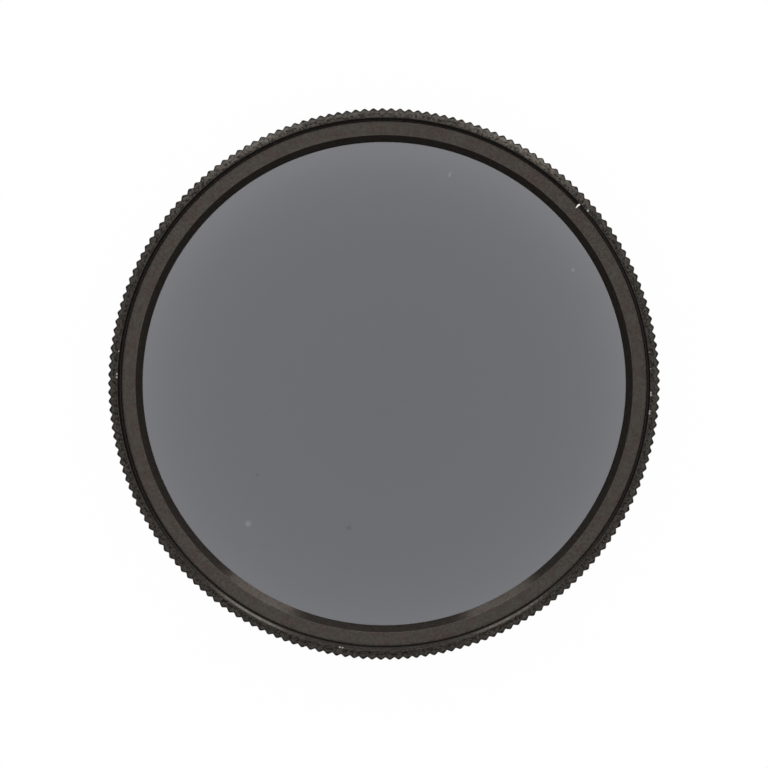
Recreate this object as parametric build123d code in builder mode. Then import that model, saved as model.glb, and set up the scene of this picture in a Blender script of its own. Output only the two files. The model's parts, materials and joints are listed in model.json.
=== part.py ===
"""A screw-in neutral density lens filter.

A knurled ring has a male thread behind and a female thread in front. A tinted glass disc lies on a ledge
in its bore, and a retaining ring clamps it there.

The optical axis is +Z. The filter lies on the end of its male thread, at z = 0, with its front facing up.
Lengths are in millimetres.
"""

import os
from math import pi

from build123d import *

# Screw thread, the same size behind and in front
thread_diameter = 58.0
thread_pitch = 0.75
male_thread_length = 2.8
male_relief_width = 0.45
female_relief_width = 0.7
lead_in = 0.05  # the rear cone and the reliefs go this far past the thread's profile
mouth_step = 0.13  # the front cone ends this far inside the thread's nominal radius

# Knurled rim
rim_wall = 0.9  # from the thread's nominal radius to the tops of the teeth
knurl_teeth = 193
knurl_depth = 0.26
knurl_crest = 0.12  # flat along the top of each tooth
knurl_turn = 0.78  # degrees from +X to the first tooth
front_bevel_height = 0.55
front_land = 0.08  # between the lead-in cone and the front bevel
rear_bevel_height = 0.4
rear_bevel_width = 0.35
rear_knurl_depth = 0.16
groove_run_out = 0.3  # the grooves are cut this far past the shoulder

# Glass, and the ledge that it lies on
glass_thickness = 2.0
glass_chamfer = 0.2
glass_clearance = 0.1  # all round, in its pocket
ledge_height = 1.5  # from the end of the male thread to the glass
ledge_overlap = 0.6
ledge_lip = 0.45
rear_flare = 0.9  # the bore widens this much towards the lens

# Retaining ring, and its seat
retainer_thickness = 1.3
retainer_overlap = 0.88  # how far it reaches over the glass
retainer_bevel_width = 0.78
retainer_bevel_drop = 0.57
retainer_edge = 0.06
retainer_clearance = 0.02
retainer_stand = 0.4  # the ring stands out of its seat, into the thread's relief
seat_step = 0.03  # the seat is this much tighter than the female thread
pocket_step = 1.26
glass_proud = 0.15  # the glass stands out of its pocket, so that the ring clamps it
front_recess = 2.8  # from the front of the rim to the retaining ring

# Radii of the standard 60 degree thread
internal_thread_depth = 0.5413 * thread_pitch
external_thread_depth = 0.6134 * thread_pitch
thread_radius = thread_diameter / 2
bore_radius = thread_radius - internal_thread_depth
male_root_radius = thread_radius - external_thread_depth - lead_in
female_root_radius = thread_radius + lead_in
mouth_radius = thread_radius - mouth_step

# Radii that follow from the thread, outwards and inwards
crest_radius = thread_radius + rim_wall
groove_radius = crest_radius - knurl_depth
front_land_radius = mouth_radius + front_land
rear_crest_radius = crest_radius - rear_bevel_width
rear_groove_radius = rear_crest_radius - rear_knurl_depth
seat_radius = bore_radius - seat_step
pocket_radius = seat_radius - pocket_step
glass_radius = pocket_radius - glass_clearance
ledge_radius = glass_radius - ledge_overlap
flare_radius = ledge_radius + rear_flare
retainer_radius = seat_radius - retainer_clearance
retainer_inner_radius = glass_radius - retainer_overlap

# Heights, from the end of the male thread
shoulder_z = male_thread_length
glass_top_z = ledge_height + glass_thickness
pocket_top_z = glass_top_z - glass_proud
retainer_top_z = glass_top_z + retainer_thickness
seat_top_z = retainer_top_z - retainer_stand
front_z = retainer_top_z + front_recess
rear_bevel_z = shoulder_z + rear_bevel_height
front_bevel_z = front_z - front_bevel_height

# The V of the knurl: its width at the tooth tops, and its height up to half the width of a crest beside it
tooth_angle = 360 / knurl_teeth
tooth_pitch = 2 * pi * crest_radius / knurl_teeth
groove_width = tooth_pitch - knurl_crest
cutter_width = tooth_pitch - knurl_crest / 2
cutter_height = knurl_depth * cutter_width / groove_width


def run_on(start, end, length):
    """The point that lies this far past the end of a line."""
    return end + (end - start).normalized() * length


with BuildPart() as knurl_groove:
    # One groove: a V that runs straight back from the front and follows the rear bevel
    front_end = Vector(groove_radius, 0, front_z)
    rear_corner = Vector(groove_radius, 0, rear_bevel_z)
    rear_end = run_on(rear_corner, Vector(rear_groove_radius, 0, shoulder_z), groove_run_out)
    with BuildLine() as groove_root:
        Polyline(front_end, rear_corner, rear_end)
    with BuildSketch(Plane(groove_root.line @ 0, x_dir=(0, 1, 0), z_dir=groove_root.line % 0)):
        with BuildLine():
            Polyline((0, 0), (-cutter_width / 2, cutter_height), (cutter_width / 2, cutter_height), close=True)
        make_face()
    sweep(path=groove_root.line, transition=Transition.RIGHT)

with BuildPart() as filter_ring:
    # The rim, with one flat side for the top of each tooth, and a bevel at both ends
    for height, radius in (
        (shoulder_z, rear_crest_radius),
        (rear_bevel_z, crest_radius),
        (front_bevel_z, crest_radius),
        (front_z, front_land_radius),
    ):
        with BuildSketch(Plane.XY.offset(height)):
            RegularPolygon(radius, knurl_teeth, major_radius=False, rotation=knurl_turn + tooth_angle / 2)
    loft(ruled=True)
    with PolarLocations(0, knurl_teeth, start_angle=knurl_turn + tooth_angle / 2):
        add(knurl_groove.part, mode=Mode.SUBTRACT)
    # The male thread's tube, with a cone to start the thread and a relief where it meets the rim
    with BuildSketch(Plane.XZ):
        with BuildLine():
            Polyline(
                (0, 0),
                (male_root_radius, 0),
                (thread_radius, thread_radius - male_root_radius),
                (thread_radius, shoulder_z - male_relief_width),
                (male_root_radius, shoulder_z - male_relief_width),
                (male_root_radius, shoulder_z),
                (0, shoulder_z),
                close=True,
            )
        make_face()
    revolve(axis=Axis.Z)
    # The bore: flare, ledge, glass pocket, seat of the retaining ring, relief, thread and lead-in cone
    with BuildSketch(Plane.XZ):
        with BuildLine():
            Polyline(
                (0, 0),
                (flare_radius, 0),
                (ledge_radius, ledge_height - ledge_lip),
                (ledge_radius, ledge_height),
                (pocket_radius, ledge_height),
                (pocket_radius, pocket_top_z),
                (seat_radius, pocket_top_z),
                (seat_radius, seat_top_z),
                (female_root_radius, seat_top_z),
                (female_root_radius, seat_top_z + female_relief_width),
                (bore_radius, seat_top_z + female_relief_width),
                (bore_radius, front_z - (mouth_radius - bore_radius)),
                (mouth_radius, front_z),
                (0, front_z),
                close=True,
            )
        make_face()
    revolve(axis=Axis.Z, mode=Mode.SUBTRACT)
filter_ring.part.label = "filter_ring"

with BuildPart() as filter_glass:
    with BuildSketch(Plane.XY.offset(ledge_height)):
        Circle(glass_radius)
    extrude(amount=glass_thickness)
    chamfer(filter_glass.edges().filter_by(GeomType.CIRCLE), glass_chamfer)
filter_glass.part.label = "filter_glass"

with BuildPart() as retaining_ring:
    with BuildSketch(Plane.XZ):
        with BuildLine():
            Polyline(
                (retainer_inner_radius, glass_top_z),
                (retainer_radius, glass_top_z),
                (retainer_radius, retainer_top_z),
                (retainer_inner_radius + retainer_bevel_width, retainer_top_z),
                (retainer_inner_radius, retainer_top_z - retainer_bevel_drop),
                close=True,
            )
        make_face()
    revolve(axis=Axis.Z)
    front_face = retaining_ring.faces().sort_by(Axis.Z)[-1]
    chamfer(front_face.edges().sort_by(SortBy.RADIUS)[-1], retainer_edge)
retaining_ring.part.label = "retaining_ring"

os.makedirs("parts", exist_ok=True)
for piece in (filter_ring, filter_glass, retaining_ring):
    export_step(piece.part, f"parts/{piece.part.label}.step")
    print(piece.part.label, round(piece.part.volume, 1), "mm3")
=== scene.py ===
# %% [markdown]
# # A screw-in lens filter
#
# A filter of this kind is a disc of grey glass in a thin ring of anodised aluminium. The ring
# has a male thread behind, which goes into the front of a lens, a knurled rim for the fingers,
# and a female thread in front for the next filter or a cap. A second, flat ring sits over the
# glass and keeps it on its ledge. The frame holds these three pieces as plain solids. Here each
# one gets a finer mesh in the same place, with its threads, rounded edges, finish and wear.

# %% Load the frame
import json
import math

import bmesh
import bpy
import numpy as np
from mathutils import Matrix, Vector


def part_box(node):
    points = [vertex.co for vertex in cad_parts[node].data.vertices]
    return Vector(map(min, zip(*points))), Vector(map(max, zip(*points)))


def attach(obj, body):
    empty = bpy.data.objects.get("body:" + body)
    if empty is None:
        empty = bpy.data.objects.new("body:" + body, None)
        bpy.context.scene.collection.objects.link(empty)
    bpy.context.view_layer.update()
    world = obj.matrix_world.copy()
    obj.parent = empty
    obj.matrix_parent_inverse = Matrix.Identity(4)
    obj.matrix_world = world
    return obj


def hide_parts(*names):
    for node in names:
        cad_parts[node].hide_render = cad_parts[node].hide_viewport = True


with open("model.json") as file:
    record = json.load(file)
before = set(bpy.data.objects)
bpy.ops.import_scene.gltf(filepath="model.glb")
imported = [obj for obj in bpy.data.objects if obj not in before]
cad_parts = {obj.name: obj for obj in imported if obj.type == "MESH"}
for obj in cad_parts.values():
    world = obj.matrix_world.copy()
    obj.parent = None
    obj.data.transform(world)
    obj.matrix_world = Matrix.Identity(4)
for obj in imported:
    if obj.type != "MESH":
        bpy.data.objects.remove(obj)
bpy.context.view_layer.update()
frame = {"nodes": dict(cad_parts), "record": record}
print("solids in the frame:", sorted(frame["nodes"]))

# %% [markdown]
# ## Measure the frame
#
# Typing every size again would let the looks drift away from the solids, so the sizes that the
# frame can give are read from it: the two thread radii from the mounts, the other radii from
# the corners of the solids, and the heights from their boxes. Blender works in metres, and a
# value in millimetres is easier to read, so each one is written as a number times MM.

# %% Read radii and heights from the solids
MM = 0.001


def radii(node):
    """The smallest and the largest distance of a solid's corners from the axis."""
    distances = [corner.co.xy.length for corner in frame["nodes"][node].data.vertices]
    return min(distances), max(distances)


mounts = {mount["name"]: mount["dims"] for mount in frame["record"]["mounts"]}
thread_radius = mounts["rear_thread"]["r_mm"] * MM
bore_radius = mounts["front_thread"]["r_mm"] * MM
ledge_radius, crest_radius = radii("filter_ring")
glass_radius = radii("filter_glass")[1]
retainer_bore, retainer_radius = radii("retaining_ring")
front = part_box("filter_ring")[1].z
ledge_height, glass_top = (corner.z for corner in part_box("filter_glass"))
retainer_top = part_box("retaining_ring")[1].z
print(f"rim {2 * crest_radius / MM:.2f} mm across, {front / MM:.2f} mm high")

# %% [markdown]
# ## Outlines to turn on the lathe
#
# Every piece of a filter is turned, so every piece starts as the outline of half its section.
# One vertex is extruded from corner to corner round the outline and merged with itself at the
# end, which is how such an outline is drawn by hand. A real edge is never perfectly sharp, and
# the thin bright lines in a photograph are its rounding, so each corner can be bevelled as a
# vertex, by the length that the rounding takes from both of its edges.

# %% Helpers that draw and select
MERGE = 1e-6
SMOOTH_ANGLE = math.radians(35)


def pick(piece, test, kind="VERT"):
    """In edit mode, select the vertices, edges or faces that pass a test."""
    bpy.ops.mesh.select_mode(type=kind)
    bpy.ops.mesh.select_all(action="DESELECT")
    mesh = bmesh.from_edit_mesh(piece.data)
    items = {"VERT": mesh.verts, "EDGE": mesh.edges, "FACE": mesh.faces}[kind]
    for item in items:
        item.select_set(test(item))
    mesh.select_flush_mode()
    bmesh.update_edit_mesh(piece.data)


def draw_loop(name, places):
    """Start a piece as a closed loop of edges through some places, and stay in edit mode."""
    bpy.ops.object.select_all(action="DESELECT")
    bpy.ops.mesh.primitive_plane_add(size=MM)
    piece = bpy.context.object
    piece.name = piece.data.name = name
    bpy.ops.object.mode_set(mode="EDIT")
    bpy.ops.mesh.select_mode(type="VERT")
    bpy.ops.mesh.merge(type="CENTER")
    bpy.ops.transform.translate(value=places[0])
    for here, there in zip(places, places[1:] + places[:1]):
        bpy.ops.mesh.extrude_vertices_move(TRANSFORM_OT_translate={"value": there - here})
    bpy.ops.mesh.select_all(action="SELECT")
    bpy.ops.mesh.remove_doubles(threshold=MERGE)
    return piece


def draw_section(name, corners, segments=3):
    """Draw half a section from corners of (radius, height, rounding), each rounding bevelled."""
    piece = draw_loop(name, [Vector((radius, 0, height)) for radius, height, _ in corners])
    for radius, height, rounding in corners:
        if rounding:
            corner = Vector((radius, 0, height))
            pick(piece, lambda vertex: (vertex.co - corner).length < MERGE)
            bpy.ops.mesh.bevel(affect="VERTICES", offset=rounding, segments=segments)
    bpy.ops.mesh.select_all(action="SELECT")
    return piece


def close_up(piece):
    """Merge the seams, turn the faces outwards and shade the rounded edges smooth."""
    bpy.ops.mesh.select_all(action="SELECT")
    bpy.ops.mesh.remove_doubles(threshold=MERGE)
    bpy.ops.mesh.normals_make_consistent(inside=False)
    bpy.ops.object.mode_set(mode="OBJECT")
    bpy.ops.object.shade_smooth_by_angle(angle=SMOOTH_ANGLE)


print("outlines merge within", MERGE / MM, "mm")

# %% [markdown]
# ## The knurled ring: its section
#
# The real ring is turned from one tube. From behind to the front, the outside has a cone that
# starts the male thread, a relief groove, the shoulder that stops against the lens, and the rim
# with a bevel at both ends. The inside has a flare, the ledge and pocket of the glass, the seat
# of the retaining ring, a second relief, the female thread and its lead-in cone. Edges that
# fingers touch are rounded more than the others. The cone and the front bevel meet in a rounded
# lip, so their lines are carried on to the corner where they cross, a little above the front,
# and the rounding brings it down again.

# %% Section of the ring
pitch = 0.75 * MM
lead_in = 0.05 * MM
thread_depth = 0.6134 * pitch
broken_edge = 0.02 * MM
soft_edge = 0.08 * MM
tooth_edge = 0.22 * MM
lip_edge = 0.089 * MM

male_root = thread_radius - thread_depth
male_end = male_root - lead_in
female_root = thread_radius
relief_radius = female_root + lead_in
mouth_radius = thread_radius - 0.13 * MM
shoulder = 2.8 * MM
male_relief = shoulder - 0.45 * MM
rear_corner = shoulder + 0.4 * MM
front_corner = front - 0.55 * MM
rear_crest = crest_radius - 0.35 * MM
front_land = mouth_radius + 0.08 * MM
seat_top = retainer_top - 0.4 * MM
female_relief = seat_top + 0.7 * MM
seat_radius = retainer_radius + 0.02 * MM
pocket_radius = glass_radius + 0.1 * MM
pocket_top = glass_top - 0.15 * MM
lip_bottom = ledge_height - 0.45 * MM
flare_radius = ledge_radius + 0.9 * MM
cone_start = front - (mouth_radius - bore_radius)
front_slope = (front - front_corner) / (crest_radius - front_land)
lip_radius = ((front_corner - cone_start + bore_radius + front_slope * crest_radius)
              / (1 + front_slope))
lip_top = cone_start + lip_radius - bore_radius

ring_corners = [
    (male_end, 0, broken_edge),
    (thread_radius, thread_radius - male_end, 0),
    (thread_radius, male_relief, 0),
    (male_end, male_relief, 0),
    (male_end, shoulder, 0),
    (rear_crest, shoulder, broken_edge),
    (crest_radius, rear_corner, soft_edge),
    (crest_radius, front_corner, tooth_edge),
    (lip_radius, lip_top, lip_edge),
    (bore_radius, cone_start, 0),
    (bore_radius, female_relief, 0),
    (relief_radius, female_relief, 0),
    (relief_radius, seat_top, 0),
    (seat_radius, seat_top, broken_edge),
    (seat_radius, pocket_top, 0),
    (pocket_radius, pocket_top, 0),
    (pocket_radius, ledge_height, 0),
    (ledge_radius, ledge_height, broken_edge),
    (ledge_radius, lip_bottom, broken_edge),
    (flare_radius, 0, broken_edge),
]
ring = draw_section("knurled_ring", ring_corners)
print("section of the ring:", len(ring_corners), "corners")

# %% [markdown]
# ## The knurled ring: one tooth
#
# The rim carries 193 fine teeth, so only one of them is modelled. The section is spun through
# the angle of one tooth in eight columns. The bore doesn't need that many, so its spare columns
# are dissolved, and the faces in front and behind may get many corners. Then the columns are
# pushed in: fully in the groove, not at all on the crest, and less where the knurling wheel ran
# out behind. The rounded edge in front slides up along its bevel as it goes in, so the bevel
# stays smooth and only its scalloped edge shows the teeth, as on the real rim.

# %% Spin one tooth and push its groove in
teeth = 193
tooth_angle = 2 * math.pi / teeth
knurl_turn = math.radians(0.78)
groove_depths = {shoulder: 0.16 * MM, rear_corner: 0.275 * MM}
crest_shares = [0, 0.27, 0.58, 0.88, 1, 0.88, 0.58, 0.27, 0]
steps = len(crest_shares) - 1
kept_columns = (0, steps // 2, steps)
knurl_floor = thread_radius + 0.1 * MM
climbing_rows = front_corner - 1.5 * tooth_edge
LATHE_AXIS = (0, 0, -1)


def column_of(vertex):
    """Which column of the tooth a vertex is in, counted from the groove that it starts at."""
    return round(math.atan2(vertex.co.y, vertex.co.x) / tooth_angle * steps)


def on_knurl(vertex):
    """True on the outside of the rim."""
    return vertex.co.xy.length > knurl_floor


def spare(edge):
    """True on an edge along the section, off the knurl, in a column that the bore can lose."""
    first, second = edge.verts
    along = column_of(first) == column_of(second)
    off_knurl = not (on_knurl(first) and on_knurl(second))
    return along and off_knurl and column_of(first) not in kept_columns


bpy.ops.mesh.spin(steps=steps, angle=tooth_angle, center=(0, 0, 0), axis=LATHE_AXIS)
pick(ring, spare, "EDGE")
bpy.ops.mesh.dissolve_edges(use_verts=True)
knurl_rows = sorted({vertex.co.z for vertex in bmesh.from_edit_mesh(ring.data).verts
                     if on_knurl(vertex) and column_of(vertex) == 0})
for column, share in enumerate(crest_shares):
    turn = tooth_angle * column / steps
    outwards = Vector((math.cos(turn), math.sin(turn), 0))
    for row in knurl_rows:
        depth = np.interp(row, list(groove_depths), list(groove_depths.values()))
        climb = front_slope if row > climbing_rows else 0
        pick(ring, lambda vertex: on_knurl(vertex) and column_of(vertex) == column
             and abs(vertex.co.z - row) < MERGE / 10)
        bpy.ops.transform.translate(value=(outwards - Vector((0, 0, climb))) * depth * (share - 1))
print("one tooth:", len(knurl_rows), "rows pushed in over", steps, "columns")

# %% [markdown]
# ## The knurled ring: all its teeth
#
# A knurling wheel presses the same tooth again and again, so the modelled tooth is spun once
# more as separate copies, and the seams between them are merged. One spin of copies keeps the
# pitch exact, which is what closes the last seam.

# %% Repeat the tooth round the rim
bpy.ops.mesh.select_all(action="SELECT")
bpy.ops.mesh.spin(steps=teeth - 1, dupli=True, angle=2 * math.pi - tooth_angle,
                  center=(0, 0, 0), axis=LATHE_AXIS)
close_up(ring)
ring.rotation_euler.z = knurl_turn + tooth_angle / 2
bpy.ops.object.transform_apply(rotation=True)
print("ring with", teeth, "teeth:", len(ring.data.polygons), "faces")

# %% [markdown]
# ## The threads
#
# Both threads are 0.75 mm in pitch with flanks at 60 degrees. A drawn texture would look flat
# from the side, so they are cut: a trapezoid, the section of the cutting tool, is carried along
# a helix by a Screw modifier, its two ends are filled, and a Boolean takes it out of the ring.
# The Screw modifier climbs anticlockwise, which is a right-hand thread. The front thread is
# turned so that it ends in the lead-in cone where its start is seen, at 42 degrees.

# %% Cut both threads
flank = math.tan(math.radians(30))
overrun = 0.05 * MM
thread_exit = math.radians(42.4)


def cut_thread(name, root, root_flat, mouth, start, turns, turn):
    """Cut a helical groove into the ring, from its root out to its mouth, upwards from a height."""
    half_root = root_flat / 2
    half_mouth = half_root + abs(mouth - root) * flank
    places = [(root, -half_root), (root, half_root), (mouth, half_mouth), (mouth, -half_mouth)]
    tool = draw_section(name, [(radius, start + rise, 0) for radius, rise in places])
    bpy.ops.object.mode_set(mode="OBJECT")
    helix = tool.modifiers.new("helix", "SCREW")
    helix.axis = "Z"
    helix.iterations = turns
    helix.screw_offset = pitch
    helix.steps = helix.render_steps = teeth
    bpy.ops.object.modifier_apply(modifier=helix.name)
    bpy.ops.object.mode_set(mode="EDIT")
    bpy.ops.mesh.select_all(action="SELECT")
    bpy.ops.mesh.fill_holes(sides=len(places))
    bpy.ops.mesh.normals_make_consistent(inside=False)
    bpy.ops.object.mode_set(mode="OBJECT")
    tool.rotation_euler.z = turn
    bpy.ops.object.transform_apply(rotation=True)
    bpy.context.view_layer.objects.active = ring
    cut = ring.modifiers.new(name, "BOOLEAN")
    cut.operation = "DIFFERENCE"
    cut.solver = "EXACT"
    cut.object = tool
    bpy.ops.object.modifier_apply(modifier=cut.name)
    bpy.data.objects.remove(tool)


male_turns = 4
male_top = shoulder - pitch / 2
cut_thread("male_thread", male_root, pitch / 6, thread_radius + overrun,
           male_top - male_turns * pitch, male_turns, thread_exit)
female_turns = 3
female_top = front - 0.35 * MM
cut_thread("female_thread", female_root, pitch / 8, bore_radius - 2 * overrun,
           female_top - female_turns * pitch, female_turns, thread_exit)
bpy.ops.object.select_all(action="DESELECT")
ring.select_set(True)
bpy.ops.object.shade_smooth_by_angle(angle=SMOOTH_ANGLE)
print("threads cut:", len(ring.data.polygons), "faces")

# %% [markdown]
# ## The burr at the start of the thread
#
# Where the front thread runs out, the tool left a sliver of bare metal that curls over the
# lead-in cone into the bore. It is drawn from above as a thin crescent, from stations of reach,
# bend, half width and drop, filled and pulled down into the cone. An attribute marks it as bare,
# so that the finish of the ring can leave the dyed film off it.

# %% Add the burr
stations = [(-0.46, 0.06, 0, 0.40), (-0.20, 0.10, 0.08, 0.25), (0.00, 0.11, 0.10, 0.16),
            (0.16, 0.09, 0.08, 0.09), (0.30, 0.02, 0.055, 0.04), (0.46, -0.14, 0, 0.02)]
burr_depth = 0.4 * MM
outwards = Vector((math.cos(thread_exit), math.sin(thread_exit), 0))
across = Vector((-outwards.y, outwards.x, 0))


def burr_side(side):
    """The places along one side of the burr, from its inner tip to its outer tip."""
    return [outwards * (bore_radius + reach * MM) + across * (bend + side * half) * MM
            + Vector((0, 0, front - drop * MM)) for reach, bend, half, drop in stations]


burr = draw_loop("burr", burr_side(1) + burr_side(-1)[-2:0:-1])
bpy.ops.mesh.edge_face_add()
bpy.ops.mesh.extrude_region_move(TRANSFORM_OT_translate={"value": (0, 0, -burr_depth)})
close_up(burr)
BARE_MARK = "bare"
bare = burr.data.attributes.new(BARE_MARK, "FLOAT", "POINT")
for point in bare.data:
    point.value = 1
bpy.ops.object.select_all(action="DESELECT")
burr.select_set(True)
ring.select_set(True)
bpy.context.view_layer.objects.active = ring
bpy.ops.object.join()
print("ring with its burr:", len(ring.data.polygons), "faces")

# %% [markdown]
# ## The retaining ring
#
# The retaining ring is a flat ring that screws down on the glass, with a bevel towards it so that
# it doesn't cut into the picture's corners. A lathe tool leaves its edges crisp, so they get only
# a trace of rounding, which catches the light as a line. The bevel reaches a hair further over the
# glass than the plain solid does, as wide as it looks in the picture. The ring is spun in fine
# steps, because its edges are the clearest circles there.

# %% Turn the retaining ring
lathe_steps = 2 * teeth
crisp_edge = 0.015 * MM
bevel_edge = 0.03 * MM
bevel_radius = retainer_bore - 0.055 * MM
bevel_width = 0.78 * MM
bevel_drop = 0.57 * MM

retainer = draw_section("retaining_ring_turned", [
    (bevel_radius, glass_top, broken_edge),
    (retainer_radius, glass_top, broken_edge),
    (retainer_radius, retainer_top, crisp_edge),
    (bevel_radius + bevel_width, retainer_top, bevel_edge),
    (bevel_radius, retainer_top - bevel_drop, bevel_edge),
], segments=4)
bpy.ops.mesh.spin(steps=lathe_steps, angle=2 * math.pi, center=(0, 0, 0), axis=LATHE_AXIS)
close_up(retainer)
print("retaining ring:", len(retainer.data.polygons), "faces")

# %% [markdown]
# ## The glass
#
# The glass is a plain disc with both faces polished flat, and its edges are ground to a small
# chamfer so that they don't chip. A cylinder with its two end edges bevelled is all it needs.

# %% Make the glass
glass_chamfer = 0.2 * MM
bpy.ops.object.select_all(action="DESELECT")
bpy.ops.mesh.primitive_cylinder_add(vertices=lathe_steps, radius=glass_radius,
                                    depth=glass_top - ledge_height,
                                    location=(0, 0, (glass_top + ledge_height) / 2))
glass = bpy.context.object
glass.name = glass.data.name = "grey_glass_disc"
bpy.ops.object.transform_apply(location=True)
bpy.ops.object.mode_set(mode="EDIT")
pick(glass, lambda edge: edge.verts[0].co.z == edge.verts[1].co.z, "EDGE")
bpy.ops.mesh.bevel(affect="EDGES", offset=glass_chamfer, segments=1)
close_up(glass)
print("glass:", len(glass.data.polygons), "faces")

# %% [markdown]
# ## Flat faces stay flat
#
# Turned faces are flat right up to their rounded edges. Smooth shading would spread each rounding
# over the faces beside it and make them look pillowed, so the normals are weighted by face area,
# which lets the large flat faces keep their own direction. In square metres the areas are too
# small to be weighed, so each piece is a thousand times larger meanwhile.

# %% Weight the normals
for piece in (ring, retainer, glass):
    bpy.ops.object.select_all(action="DESELECT")
    piece.select_set(True)
    bpy.context.view_layer.objects.active = piece
    piece.scale = 3 * [1 / MM]
    bpy.ops.object.transform_apply(scale=True)
    flatten = piece.modifiers.new("flat faces", "WEIGHTED_NORMAL")
    flatten.keep_sharp = True
    bpy.ops.object.modifier_apply(modifier=flatten.name)
    piece.scale = 3 * [MM]
    bpy.ops.object.transform_apply(scale=True)
print("normals weighted by face area on three pieces")

# %% [markdown]
# ## Shader nodes by hand
#
# The finishes are made of a few kinds of node only: sums, colour mixes, smooth steps and noise.
# Each kind gets a small helper that takes plain numbers or other nodes' outputs, so that a
# material reads as a formula. Places are taken from the piece's own coordinates, in metres, so
# the finish doesn't move when the camera does.

# %% Helpers for shader nodes
def feed(tree, socket, value):
    """Link a socket to another one, or set it to a plain value."""
    if isinstance(value, bpy.types.NodeSocket):
        tree.links.new(value, socket)
    else:
        socket.default_value = value


def sum_of(tree, operation, *values):
    """A Math node on some sockets or numbers."""
    node = tree.nodes.new("ShaderNodeMath")
    node.operation = operation
    for socket, value in zip(node.inputs, values):
        feed(tree, socket, value)
    return node.outputs[0]


def blend(tree, share, first, second):
    """A mix of two colours."""
    node = tree.nodes.new("ShaderNodeMix")
    node.data_type = "RGBA"
    for name, value in (("Factor_Float", share), ("A_Color", first), ("B_Color", second)):
        feed(tree, next(s for s in node.inputs if s.identifier == name), value)
    return next(s for s in node.outputs if s.identifier == "Result_Color")


def ramp(tree, value, low, high, to_low, to_high):
    """Map a value smoothly from one range to another."""
    node = tree.nodes.new("ShaderNodeMapRange")
    node.interpolation_type = "SMOOTHSTEP"
    for socket, given in zip(node.inputs, (value, low, high, to_low, to_high)):
        feed(tree, socket, given)
    return node.outputs[0]


def noise(tree, coordinates, scale, detail):
    """The value of a noise texture on some coordinates."""
    node = tree.nodes.new("ShaderNodeTexNoise")
    for name, value in (("Vector", coordinates), ("Scale", scale), ("Detail", detail)):
        feed(tree, node.inputs[name], value)
    return node.outputs["Fac"]


def object_place(tree):
    """The place on the piece, in metres."""
    return tree.nodes.new("ShaderNodeTexCoord").outputs["Object"]


def split(tree, vector):
    """The three parts of a vector."""
    node = tree.nodes.new("ShaderNodeSeparateXYZ")
    feed(tree, node.inputs[0], vector)
    return node.outputs


def off_axis(tree, vector):
    """The distance from the Z axis."""
    east, north, _ = split(tree, vector)
    squares = [sum_of(tree, "MULTIPLY", part, part) for part in (east, north)]
    return sum_of(tree, "SQRT", sum_of(tree, "ADD", *squares))


def new_group(name, inputs, outputs):
    """An empty shader node group with named sockets, and its input and output nodes."""
    tree = bpy.data.node_groups.new(name, "ShaderNodeTree")
    for socket, kind, value in inputs:
        tree.interface.new_socket(socket, in_out="INPUT", socket_type=kind).default_value = value
    for socket, kind in outputs:
        tree.interface.new_socket(socket, in_out="OUTPUT", socket_type=kind)
    return tree, tree.nodes.new("NodeGroupInput").outputs, tree.nodes.new("NodeGroupOutput").inputs


def use_group(tree, group, **values):
    """Place a node group in a material with its own values, and give its outputs."""
    node = tree.nodes.new("ShaderNodeGroup")
    node.node_tree = group
    for name, value in values.items():
        feed(tree, node.inputs[name.replace("_", " ")], value)
    return node.outputs


print("node helpers ready")

# %% [markdown]
# ## Two shared effects
#
# Two effects are used more than once, so they are made once as node groups. The film is the dyed
# layer of the anodising: a fine blasted grain, faint turning marks round the axis, darker mottles
# and a slow drift between brown and grey. The spot is a small soft mask round one place, for worn
# points on the rim and for specks on the glass.

# %% The anodised film and the spot
COLOUR, FLOAT, VECTOR = "NodeSocketColor", "NodeSocketFloat", "NodeSocketVector"
grain_shade = (0.02, 0.018, 0.016, 1)
mottle_shade = (0.012, 0.011, 0.010, 1)
drift_scale = 900
mottle_scale = 3600
grain_share = 0.25
marks_share = 0.15

film, given, out = new_group(
    "anodised film",
    [("Brown", COLOUR, (0, 0, 0, 1)), ("Grey", COLOUR, (0, 0, 0, 1)),
     ("Grain scale", FLOAT, 9000), ("Turning pitch", FLOAT, 0.08 * MM), ("Mottling", FLOAT, 0.35)],
    [("Colour", COLOUR), ("Height", FLOAT)])
place = object_place(film)
drift = ramp(film, noise(film, place, drift_scale, 2), 0.35, 0.65, 0, 1)
mottle = ramp(film, noise(film, place, mottle_scale, 2), 0.36, 0.64, 0, given["Mottling"])
grain = noise(film, place, given["Grain scale"], 4)
turns = sum_of(film, "DIVIDE", off_axis(film, place), given["Turning pitch"])
marks = sum_of(film, "SINE", sum_of(film, "MULTIPLY", turns, 2 * math.pi))
brown = blend(film, ramp(film, grain, 0.3, 0.7, 0, grain_share), given["Brown"], grain_shade)
shade = blend(film, drift, brown, given["Grey"])
feed(film, out["Colour"], blend(film, mottle, shade, mottle_shade))
feed(film, out["Height"], sum_of(film, "MULTIPLY_ADD", marks, marks_share, grain))

spot, given, out = new_group("spot", [("Place", VECTOR, (0, 0, 0)), ("Size", FLOAT, 0.1 * MM)],
                             [("Mask", FLOAT)])
apart = spot.nodes.new("ShaderNodeVectorMath")
apart.operation = "DISTANCE"
feed(spot, apart.inputs[0], object_place(spot))
feed(spot, apart.inputs[1], given["Place"])
share_of_size = sum_of(spot, "DIVIDE", apart.outputs["Value"], given["Size"])
feed(spot, out["Mask"], ramp(spot, share_of_size, 0.35, 1, 1, 0))
print("shared groups:", film.name, "and", spot.name)

# %% [markdown]
# ## Anodised aluminium
#
# Anodised aluminium is metal under a dyed film, so it is a metallic shader with a very dark
# colour and a satin roughness that follows the grain. A painted surface would need a clear coat
# instead, and would look too glossy here. The retaining ring is a little paler than the knurled
# ring, and its face is smoother.

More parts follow.
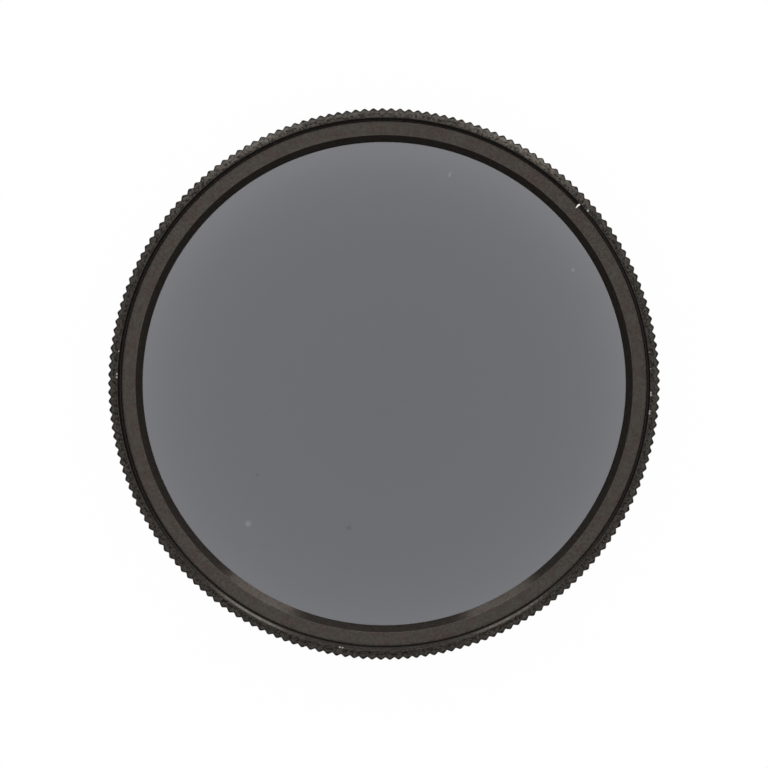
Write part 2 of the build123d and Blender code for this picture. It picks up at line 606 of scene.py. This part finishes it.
# %% Anodised ring and retaining ring
satin_spread = 0.04


def new_material(name):
    """A material with only a Principled shader in it, its nodes and that shader."""
    material = bpy.data.materials.new(name)
    material.use_nodes = True
    return material, material.node_tree, material.node_tree.nodes["Principled BSDF"].inputs


def bumped(tree, height, depth):
    """A normal from a height that is so many metres deep."""
    node = tree.nodes.new("ShaderNodeBump")
    node.inputs["Distance"].default_value = depth
    feed(tree, node.inputs["Height"], height)
    return node.outputs["Normal"]


def anodised(name, brown, grey, mottling, satin, depth):
    """Anodised aluminium in two shades: the material, its nodes, its shader and its colour."""
    material, tree, shader = new_material(name)
    surface = use_group(tree, film, Brown=brown, Grey=grey, Mottling=mottling)
    feed(tree, shader["Base Color"], surface["Colour"])
    shader["Metallic"].default_value = 1
    feed(tree, shader["Roughness"], ramp(tree, surface["Height"], 0.2, 0.8,
                                         satin - satin_spread, satin + satin_spread))
    feed(tree, shader["Normal"], bumped(tree, surface["Height"], depth))
    return material, tree, shader, surface["Colour"]


ring_mottling = 0.4
ring_finish, tree, shader, dye_and_painted_light = anodised(
    "anodised ring", brown=(0.0866, 0.0719, 0.0626, 1), grey=(0.0785, 0.0739, 0.0639, 1),
    mottling=ring_mottling, satin=0.2, depth=0.004 * MM)
retainer_finish = anodised(
    "anodised retainer", brown=(0.0900, 0.0723, 0.0637, 1), grey=(0.0819, 0.0743, 0.0647, 1),
    mottling=0.28, satin=0.13, depth=0.0015 * MM)[0]
print("finishes:", ring_finish.name, "and", retainer_finish.name)

# %% [markdown]
# ## The ring's film, with painted shade and a painted highlight, from place to place
#
# The colour isn't the same all over the ring. The front thread is darkened as painted shade of its
# recess. The front bevel is more mottled than the sides, its lip is darkened as painted shade, and
# a narrow pale line along the teeth is a painted highlight. Painting these by hand would need an
# image, so each one is a mask made from the distance to the axis and the height, which a turned
# part offers anyway.

# %% Masks on the ring
# The darker thread colour and the darker lip colour are painted shade, and the pale colour is a
# painted highlight along the teeth.
thread_painted_shade = (0.018, 0.016, 0.015, 1)
lip_painted_shade = (0.02, 0.018, 0.016, 1)
painted_highlight_colour = (0.13, 0.118, 0.105, 1)
bevel_mottling = 0.9
lip_painted_shade_share = 0.42
painted_highlight_share = 0.32

place = object_place(tree)
height = split(tree, place)[2]
from_axis = off_axis(tree, place)
facing = ramp(tree, height, front_corner - 0.15 * MM, front_corner, 0, 1)
on_bevel = sum_of(tree, "MULTIPLY", facing, ramp(tree, from_axis, mouth_radius, front_land, 0, 1))
feed(tree, dye_and_painted_light.node.inputs["Mottling"],
     ramp(tree, on_bevel, 0, 1, ring_mottling, bevel_mottling))

# Painted shade: the inside of the bore, from the seat up to the lead-in cone, is darkened like a
# shaded recess.
inside = ramp(tree, from_axis, relief_radius, relief_radius + 0.1 * MM, 1, 0)
below = ramp(tree, height, cone_start - 0.05 * MM, cone_start + 0.05 * MM, 1, 0)
above = ramp(tree, height, pocket_top, seat_top, 0, 1)
thread_painted_shade_mask = sum_of(tree, "MULTIPLY", inside, sum_of(tree, "MULTIPLY", below, above))
dye_and_painted_light = blend(tree, thread_painted_shade_mask, dye_and_painted_light, thread_painted_shade)

# Painted shade: the lip round the mouth of the bore is darkened.
lip_painted_shade_mask = ramp(tree, from_axis, front_land, front_land + 0.3 * MM, lip_painted_shade_share, 0)
near_front = ramp(tree, height, front - 0.14 * MM, front - 0.05 * MM, 0, 1)
dye_and_painted_light = blend(tree, sum_of(tree, "MULTIPLY", lip_painted_shade_mask, near_front), dye_and_painted_light, lip_painted_shade)

# Painted highlight: a pale line on the front bevel along the teeth, where the bevel mirrors the
# bright floor.
painted_highlight_from = ramp(tree, from_axis, crest_radius - 0.64 * MM, crest_radius - 0.42 * MM,
                   0, painted_highlight_share)
painted_highlight_to = ramp(tree, from_axis, crest_radius - 0.35 * MM, crest_radius - 0.15 * MM, 1, 0)
painted_highlight_mask = sum_of(tree, "MULTIPLY", facing, sum_of(tree, "MULTIPLY", painted_highlight_from, painted_highlight_to))
dye_and_painted_light = blend(tree, painted_highlight_mask, dye_and_painted_light, painted_highlight_colour)
# The thread and the lip carry painted shade, and the line along the teeth carries a painted
# highlight.
print("film varied in the thread, on the bevel, on the lip and along the teeth")

# %% [markdown]
# ## Bare metal
#
# The rim of the bore has lost its film at a few points, where other filters were screwed in, and
# the burr has none. In both places the bare metal shows. Each worn point is a spot given by its
# direction in degrees, its offset from the mouth of the bore and its size, and the burr is found
# by the attribute that marks it.

# %% Worn points and the burr
bare_metal = (0.80, 0.77, 0.70, 1)
worn_share = 0.4
worn_height = front - 0.02 * MM
worn_points = [(178.5, 0.05, 0.15), (177.8, 0.05, 0.15), (172.9, 0.05, 0.1), (357.7, 0.05, 0.15),
               (358.2, 0.05, 0.15), (353.7, 0.05, 0.15), (354.2, 0.05, 0.15), (6.9, 0.05, 0.07),
               (3.3, 0.05, 0.07), (260.5, -0.02, 0.16), (261.1, -0.02, 0.14), (40.4, 0.12, 0.18)]


def polar(radius, degrees, height):
    """A place given by its distance from the axis, its direction and its height."""
    turn = math.radians(degrees)
    return radius * math.cos(turn), radius * math.sin(turn), height


marked = tree.nodes.new("ShaderNodeAttribute")
marked.attribute_name = BARE_MARK
worn = marked.outputs["Fac"]
for degrees, offset, size in worn_points:
    point = polar(mouth_radius + offset * MM, degrees, worn_height)
    scuffed = use_group(tree, spot, Place=point, Size=size * MM)["Mask"]
    worn = sum_of(tree, "MAXIMUM", worn, sum_of(tree, "MULTIPLY", scuffed, worn_share))
feed(tree, shader["Base Color"], blend(tree, worn, dye_and_painted_light, bare_metal))
print("bare metal on the burr and at", len(worn_points), "worn points")

# %% [markdown]
# ## Grey glass
#
# Neutral density glass is dyed through, so it is a clear shader whose colour is the share of light
# that it lets pass. It is as smooth as polished glass gets, with a trace of wiping marks in the
# roughness. A few specks are on it: pale ones are lint, and dark ones are small scars.

# %% Grey glass with its specks
glass_finish, tree, shader = new_material("grey glass")
tint = (0.1561, 0.1581, 0.1698, 1)
pale = (0.28, 0.28, 0.29, 1)
dark = (0.105, 0.105, 0.115, 1)
refractive_index = 1.52
wiping_scale = 90
wiped_roughness = 0.01
specks = [(7.11, 22.65, 0.22, pale), (7.20, 22.93, 0.2, pale), (-14.81, -15.25, 0.45, pale),
          (20.56, 12.36, 0.25, pale), (-3.83, -15.69, 0.36, dark), (-13.85, -9.92, 0.25, dark)]
colour = tint
for east, north, size, shade in specks:
    point = (east * MM, north * MM, glass_top)
    spotted = use_group(tree, spot, Place=point, Size=size * MM)["Mask"]
    colour = blend(tree, spotted, colour, shade)
feed(tree, shader["Base Color"], colour)
shader["Metallic"].default_value = 0
shader["Transmission Weight"].default_value = 1
shader["IOR"].default_value = refractive_index
wiping = noise(tree, object_place(tree), wiping_scale, 3)
feed(tree, shader["Roughness"], ramp(tree, wiping, 0.3, 0.7, 0, wiped_roughness))
print("grey glass with", len(specks), "specks")

# %% [markdown]
# ## Put the pieces on the frame
#
# Each mesh was made in the frame's own place, so nothing has to be moved. Every piece takes its
# finish, rides on the one body of the part, which has no joints, and stands for its solid.

# %% Dress the pieces
dressing = [
    (ring, ring_finish, "filter_ring", "anodised_ring"),
    (retainer, retainer_finish, "retaining_ring", "anodised_retainer"),
    (glass, glass_finish, "filter_glass", "grey_glass"),
]
for piece, finish, node, slot in dressing:
    piece.data.materials.clear()
    piece.data.materials.append(finish)
    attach(piece, "root")
    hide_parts(node)
    print(piece.name, "stands for", node)

# %% [markdown]
# ## The floor
#
# The filter lies on plain white paper that fades into the white of the page. The floor is paper
# that glows a little less than white for the rays that the camera sees, directly or through the
# glass, so that a faint shadow stays under the rim. The metal shows it too, but dimmer, because
# the paper beside the filter lies in its shade.

# %% White floor
floor_width = 6
paper_glow = 0.98
shaded_glow = 0.45
bpy.ops.object.select_all(action="DESELECT")
bpy.ops.mesh.primitive_plane_add(size=floor_width)
floor = bpy.context.object
floor.name = floor.data.name = "floor"
floor_finish = bpy.data.materials.new("white floor")
floor_finish.use_nodes = True
tree = floor_finish.node_tree
tree.nodes.clear()
path = tree.nodes.new("ShaderNodeLightPath").outputs
direct = sum_of(tree, "MAXIMUM", path["Is Camera Ray"], path["Is Transmission Ray"])
seen = sum_of(tree, "MAXIMUM", direct, path["Is Glossy Ray"])
mixed = tree.nodes.new("ShaderNodeMixShader")
feed(tree, mixed.inputs[0], sum_of(tree, "MULTIPLY", seen, paper_glow))
tree.links.new(tree.nodes.new("ShaderNodeBsdfDiffuse").outputs[0], mixed.inputs[1])
glow = tree.nodes.new("ShaderNodeEmission")
feed(tree, glow.inputs["Strength"], ramp(tree, direct, 0, 1, shaded_glow, 1))
tree.links.new(glow.outputs[0], mixed.inputs[2])
tree.links.new(mixed.outputs[0], tree.nodes.new("ShaderNodeOutputMaterial").inputs["Surface"])
floor.data.materials.append(floor_finish)
print("white floor")

# %% [markdown]
# ## The sky
#
# The light comes from a broad, soft source overhead, over a dark room, so the flat faces are pale
# and the bevels that look sideways are dark. Beyond the top of the picture stands a bright strip,
# low over the table and again higher up with a gap between, so one side of the rim is brighter
# than the other. The camera hangs in the middle of the light, and its lens is mirrored in the
# glass, which is therefore darker in its middle. Panels of light would show their corners in the
# turned faces, so all this is drawn into the sky as smooth steps of direction. To the camera, and
# through the glass, the sky is plain white.

# %% World
world = bpy.data.worlds.new("studio")
bpy.context.scene.world = world
world.use_nodes = True
tree = world.node_tree
east, north, up = split(tree, tree.nodes.new("ShaderNodeTexCoord").outputs["Generated"])
lean = math.radians(1)
dome_start = 0.315
dome_full = 0.54
room_level = 0.115
light_level = 1.1
high_share = 0.7
lens_reach = 0.0349
lens_east = -0.0087
lens_north = -0.0161
lens_edge = 0.54
lens_middle = 0.25
towards = sum_of(tree, "ADD", sum_of(tree, "MULTIPLY", north, math.sin(lean)),
                 sum_of(tree, "MULTIPLY", up, math.cos(lean)))
dome = ramp(tree, towards, dome_start, dome_full, room_level, light_level)
low_part = ramp(tree, up, 0.08, 0.2, 1, 0)
high_part = ramp(tree, up, 0.33, 0.5, 0, high_share)
strip = sum_of(tree, "MULTIPLY", ramp(tree, north, 0.3, 0.9, 0, 1),
               sum_of(tree, "ADD", low_part, high_part))
aside = [sum_of(tree, "SUBTRACT", east, lens_east), sum_of(tree, "SUBTRACT", north, lens_north)]
squares = [sum_of(tree, "MULTIPLY", part, part) for part in aside]
off_lens = sum_of(tree, "DIVIDE", sum_of(tree, "ADD", *squares), lens_reach ** 2)
hood = sum_of(tree, "MULTIPLY_ADD", sum_of(tree, "POWER", off_lens, 4), lens_edge,
              sum_of(tree, "MULTIPLY", off_lens, lens_middle))
level = sum_of(tree, "MULTIPLY_ADD", dome, sum_of(tree, "MINIMUM", hood, 1), strip)
path = tree.nodes.new("ShaderNodeLightPath").outputs
seen = sum_of(tree, "MAXIMUM", path["Is Camera Ray"], path["Is Transmission Ray"])
feed(tree, tree.nodes["Background"].inputs["Color"], blend(tree, seen, level, (1, 1, 1, 1)))
print("sky leaning", round(math.degrees(lean)), "degrees")

# %% [markdown]
# ## Two tall lamps
#
# Two bright patches lie on the lower side of the retaining ring's bevel, and two more on the
# lead-in cone round it. They mirror two tall, soft lamps that stand beyond the top of the picture:
# the bevel shows their upper part, and the steeper cone shows the part that is near the table. So
# each lamp is made of two area lights, one above the other, which are turned to the filter.

# %% Lamps
lamp_distance = 0.5
lamps = [("left lamp", 119, 22, 0.14, 0.053), ("right lamp", 60, 22, 0.14, 0.062),
         ("left foot", 119, 7.5, 0.12, 0.095), ("right foot", 60, 7.5, 0.12, 0.14)]
for name, degrees, elevation, size, energy in lamps:
    rise = math.radians(elevation)
    light = bpy.data.lights.new(name, "AREA")
    light.size = size
    light.energy = energy
    lamp = bpy.data.objects.new(name, light)
    bpy.context.scene.collection.objects.link(lamp)
    lamp.location = polar(lamp_distance * math.cos(rise), degrees, lamp_distance * math.sin(rise))
    lamp.rotation_euler = lamp.location.to_track_quat("Z", "Y").to_euler()
    print(name, "at", degrees, "degrees")

# %% [markdown]
# ## The camera
#
# The picture is taken from almost straight above: the rim is a circle, and so is every edge inside
# it, but the deeper ones lie a hair off its centre, so the camera leans by about a degree. How far
# the deeper edges shrink towards the middle goes with the distance, which is set to 0.75 m, and the
# width of the rim in the picture then gives the lens.

# %% Camera
photo_pixels = 768
rim_pixels = 552.25
camera_height = 0.75
lean_right = math.radians(0.5)
lean_up = math.radians(0.8)
aim_right = 0.015 * MM
aim_up = 0.019 * MM
distance = camera_height - front_corner
frame_width = 2 * crest_radius * photo_pixels / rim_pixels

eye = bpy.data.cameras.new("camera")
eye.sensor_width = 36
eye.lens = eye.sensor_width * distance / frame_width
camera = bpy.data.objects.new("camera", eye)
camera.location = (aim_right + distance * math.tan(lean_right),
                   aim_up + distance * math.tan(lean_up), camera_height)
camera.rotation_euler = (-lean_up, lean_right, 0)
bpy.context.scene.collection.objects.link(camera)
bpy.context.scene.camera = camera
bpy.context.scene.view_settings.view_transform = "Standard"
print(f"lens {eye.lens:.1f} mm at {camera_height} m")
